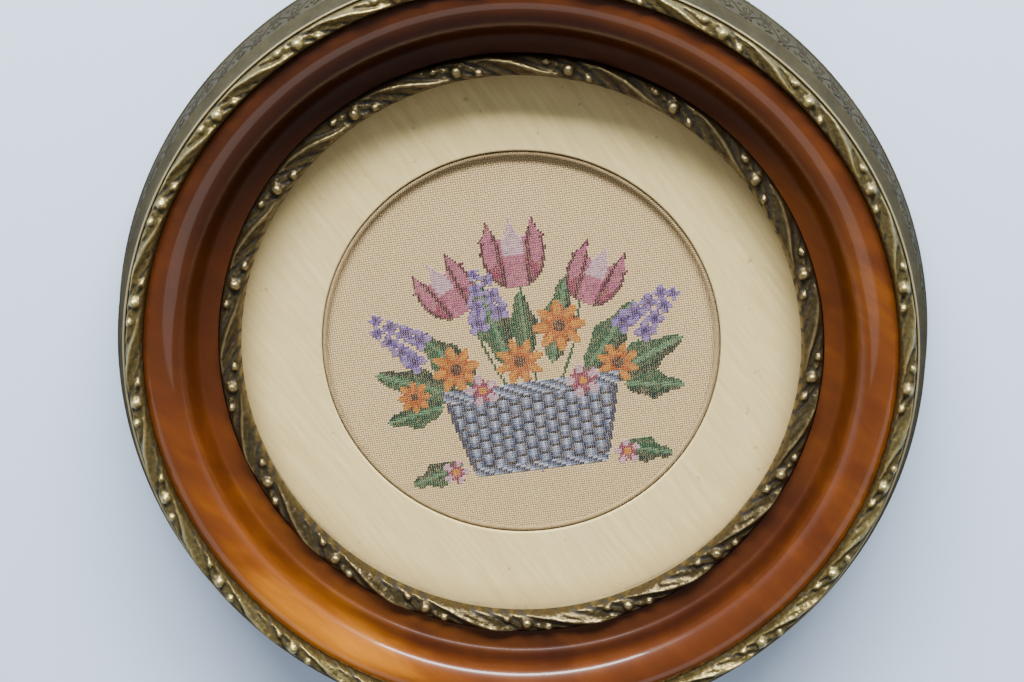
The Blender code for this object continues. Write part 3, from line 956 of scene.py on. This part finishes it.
class Chart:
    # Cells of the canvas, counted from its middle, each with the name of a dye.
    def __init__(self):
        self.cells = {}

    def fill(self, left, right, bottom, top, rule):
        for j in range(floor(bottom), ceil(top) + 1):
            for i in range(floor(left), ceil(right) + 1):
                dye = rule(i, j)
                if dye:
                    self.cells[(i, j)] = dye

    def leaf(self, x, y, length, width, angle, shades=("forest", "leaf", "sage")):
        turn = radians(angle)

        def rule(i, j):
            along = ((i - x) * cos(turn) + (j - y) * sin(turn)) / length
            across = (-(i - x) * sin(turn) + (j - y) * cos(turn)) / width
            if not 0 <= along <= 1:
                return None
            half = 0.5 * sin(pi * along ** 0.85) + 0.06 * sin(along * 5 * pi)
            if abs(across) > half:
                return None
            if abs(across) < 0.07:
                return shades[2]
            dark = across < -0.5 * half or across < 0 and (i + j) % 5 == 0
            return shades[0] if dark else shades[1]

        reach = length + width
        self.fill(x - reach, x + reach, y - reach, y + reach, rule)

    def stem(self, x0, y0, x1, y1, bend, dye="leaf"):
        for t in np.linspace(0, 1, 120):
            x = x0 + (x1 - x0) * t + bend * sin(pi * t)
            y = y0 + (y1 - y0) * t
            self.cells[(round(x), round(y))] = dye

    def tulip(self, x, y, size, angle, shades=("plum", "rose", "pink", "blush")):
        turn = radians(angle - 90)

        def rule(i, j):
            u = ((i - x) * cos(turn) + (j - y) * sin(turn)) / size
            v = (-(i - x) * sin(turn) + (j - y) * cos(turn)) / size
            cup = 0.55 - 0.55 * (v - 0.62)
            if v < 0.62:
                cup = 0.52 * sqrt(max(0.0, 1 - ((v - 0.42) / 0.62) ** 2))
            tips = 0.98 - 0.34 * abs(sin(u * 3.1 * pi / 1.1))
            if v < -0.15 or v > tips or abs(u) > max(cup, 0.0):
                return None
            seam = min(abs(u - 0.2 - 0.1 * v), abs(u + 0.2 + 0.1 * v))
            if seam < 0.035 or abs(u) > cup - 0.06:
                return shades[0]
            if abs(u) < 0.16:
                return shades[3] if v > 0.35 else shades[2]
            return shades[1] if (v + abs(u)) < 0.55 else shades[2]

        self.fill(x - 1.2 * size, x + 1.2 * size, y - 1.2 * size, y + 1.2 * size, rule)

    def daisy(self, x, y, size, petals, spin, shades=("amber", "gold", "brown")):
        def rule(i, j):
            dx, dy = i - x, j - y
            away = hypot(dx, dy) / size
            wave = abs(cos(0.5 * petals * (atan2(dy, dx) - radians(spin))))
            if away > 0.52 + 0.48 * wave:
                return None
            if away < 0.24:
                return shades[2]
            return shades[1] if wave > 0.72 and away > 0.4 else shades[0]

        self.fill(x - size, x + size, y - size, y + size, rule)

    def bells(self, x, y, count, step, angle, shades=("violet", "lilac", "mauve")):
        turn = radians(angle)
        for k in range(count):
            side = 1 if k % 2 == 0 else -1
            spread = (1 - 0.72 * k / count) * 5.2
            cx = x + k * step * cos(turn) - side * spread * sin(turn)
            cy = y + k * step * sin(turn) + side * spread * cos(turn)
            self.daisy(cx, cy, 5.4 - 2.6 * k / count, 4, angle + 45, (shades[1], shades[2], shades[0]))

    def basket(self, x, y, width, height):
        def rule(i, j):
            v = (j - y) / height
            half = 0.5 * width * (0.74 + 0.26 * v ** 0.8) if 0 <= v <= 1 else 0
            if abs(i - x) > half:
                return None
            rim, foot = v > 0.86, v < 0.10
            if rim or foot:
                return ("pearl", "mist", "steel", "slate")[int((i + 2 * j) // 2 % 4)]
            strip, row = int((i - x + 200) // 5), int(j // 3)
            within = (i - x + 200) % 5
            if (strip + row) % 2 == 0:
                dye = ("steel", "mist", "pearl", "mist", "steel")[int(within)]
            else:
                dye = ("slate", "steel", "mist", "steel", "slate")[int(within)]
            if abs(i - x) > half - 2.2:
                return "slate"
            return "ink" if j % 3 == 0 and (strip + row) % 2 else dye

        self.fill(x - width, x + width, y - 1, y + height + 1, rule)


def posyChart():
    # A basket of tulips, bellflowers and daisies among leaves.
    chart = Chart()
    for x, y, length, width, angle in (
            (-30, -20, 38, 15, 158), (-22, -16, 36, 14, 130), (34, -20, 38, 15, 22), (26, -16, 38, 14, 50),
            (-6, -10, 42, 14, 104), (12, -10, 40, 14, 74), (-38, -24, 26, 12, 190), (42, -24, 26, 12, -8),
            (2, -6, 30, 12, 90)):
        chart.leaf(x, y, length, width, angle)
    for x0, y0, x1, y1, bend in ((-8, -20, -20, 26, -3), (4, -20, 2, 36, 1), (14, -20, 28, 24, 3),
                                 (-14, -20, -42, 6, -2), (20, -20, 50, 8, 3)):
        chart.stem(x0, y0, x1, y1, bend)
    chart.tulip(2, 30, 27, 90)
    chart.tulip(-25, 20, 24, 116)
    chart.tulip(31, 18, 24, 62)
    chart.bells(-44, 2, 8, 3.4, 140)
    chart.bells(48, 0, 8, 3.4, 40)
    chart.bells(-12, 12, 7, 3.6, 96)
    chart.daisy(-30, -8, 11, 8, 10)
    chart.daisy(17, 6, 11.5, 8, 0)
    chart.daisy(40, -14, 9.5, 8, 20)
    chart.daisy(-2, -8, 10.5, 8, 15)
    chart.daisy(-50, -18, 7.5, 8, 0)
    chart.basket(1, -58, 78, 40)
    for x, y, size in ((-20, -19, 7.5), (24, -20, 8)):
        chart.daisy(x, y, size, 5, 30, ("rose", "blush", "gold"))
    chart.leaf(-34, -52, 24, 11, 196)
    chart.leaf(36, -52, 24, 11, -16)
    chart.daisy(-37, -55, 6, 5, 0, ("rose", "blush", "gold"))
    chart.daisy(39, -55, 6, 5, 20, ("rose", "blush", "gold"))
    return chart.cells


def stitchMesh(name):
    # A short bar of wool, plump in the middle, its ends tucked into the canvas.
    shape = canvasShape
    rows, columns = 5, 3
    vertices, faces = [], []
    for r in range(rows):
        t = r / (rows - 1)
        lift = sin(pi * (0.08 + 0.84 * t))
        wide = 0.5 * shape["stitchWidth"] * (0.55 + 0.45 * lift)
        for c in range(columns + 1):
            u = -1 + 2 * c / columns
            height = shape["stitchHeight"] * lift * (1 - 0.85 * u * u) - 0.06 * mm
            vertices.append(((t - 0.5) * shape["stitchLength"], u * wide, height))
    for r in range(rows - 1):
        for c in range(columns):
            a = r * (columns + 1) + c
            faces.append((a, a + columns + 1, a + columns + 2, a + 1))
    mesh = bpy.data.meshes.new(name)
    mesh.from_pydata(vertices, [], faces)
    mesh.shade_smooth()
    return mesh


def stitchTree(stitch, material):
    # Sets one stitch on every charted cell, each a little turned and sized by chance.
    tree, given, out = newTree("stitches", [
        ("Slant", "NodeSocketFloat"), ("Unevenness", "NodeSocketFloat"), ("Seed", "NodeSocketInt")])
    source = tree.nodes.new("GeometryNodeObjectInfo")
    source.inputs["Object"].default_value = stitch
    wobble = tree.nodes.new("FunctionNodeRandomValue")
    wobble.data_type = "FLOAT"
    wobble.inputs[2].default_value, wobble.inputs[3].default_value = -1.0, 1.0
    turn = tree.nodes.new("ShaderNodeMath")
    turn.operation = "MULTIPLY_ADD"
    angle = tree.nodes.new("ShaderNodeCombineXYZ")
    size = tree.nodes.new("FunctionNodeRandomValue")
    size.data_type = "FLOAT"
    size.inputs[2].default_value, size.inputs[3].default_value = canvasShape["sizes"]
    place = tree.nodes.new("GeometryNodeInstanceOnPoints")
    real = tree.nodes.new("GeometryNodeRealizeInstances")
    paint = tree.nodes.new("GeometryNodeSetMaterial")
    paint.inputs["Material"].default_value = material
    link(tree, given.outputs["Seed"], wobble.inputs["Seed"])
    link(tree, given.outputs["Seed"], size.inputs["Seed"])
    link(tree, wobble.outputs[1], turn.inputs[0])
    link(tree, given.outputs["Unevenness"], turn.inputs[1])
    link(tree, given.outputs["Slant"], turn.inputs[2])
    link(tree, turn.outputs[0], angle.inputs["Z"])
    link(tree, given.outputs["Geometry"], place.inputs["Points"])
    link(tree, source.outputs["Geometry"], place.inputs["Instance"])
    link(tree, angle.outputs[0], place.inputs["Rotation"])
    link(tree, size.outputs[1], place.inputs["Scale"])
    link(tree, place.outputs[0], real.inputs[0])
    link(tree, real.outputs[0], paint.inputs["Geometry"])
    link(tree, paint.outputs[0], out.inputs[0])
    return tree


def makeCanvas():
    s = canvasShape
    low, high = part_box("needlework_canvas")
    canvas = turnDisc("needleCanvas", high[0], low[2], high[2], s["steps"], evenweave(s["pitch"]))
    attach(canvas, "root")
    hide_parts("needlework_canvas")

    chart = posyChart()
    wool = stitchedWool("stitchedWool")
    stitch = bpy.data.objects.new("oneStitch", stitchMesh("oneStitch"))
    bpy.context.scene.collection.objects.link(stitch)
    random = np.random.default_rng(7)
    for seed, (name, members) in enumerate(woolGroups.items()):
        cells = [(cell, dye) for cell, dye in sorted(chart.items()) if dye in members]
        places = [((i + 0.5) * s["pitch"], (j + 0.5) * s["pitch"], high[2]) for (i, j), _ in cells]
        mesh = bpy.data.meshes.new(name)
        mesh.from_pydata(places, [], [])
        layer = mesh.attributes.new("dye", "FLOAT_COLOR", "POINT")
        shades = []
        for _, dye in cells:
            lift = s["dyeStrength"] * (1 + random.normal(0, s["dyeSpread"]))
            shades += [*(c * lift for c in tone(*dyes[dye])), 1.0]
        layer.data.foreach_set("color", np.array(shades, dtype=np.float32))
        piece = bpy.data.objects.new(name, mesh)
        bpy.context.scene.collection.objects.link(piece)
        bakeTree(piece, stitchTree(stitch, wool), {
            "Slant": radians(s["slant"]), "Unevenness": s["unevenness"], "Seed": seed})
        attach(piece, "root")
        print(name, len(cells), "stitches")
    bpy.data.objects.remove(stitch, do_unlink=True)
    print("canvas done")


setCamera()
setStage()
makeSide()
makeWood()
makeOrnaments()
makeLip()
makeBack()
makeMat()
makeCord()
makeCanvas()
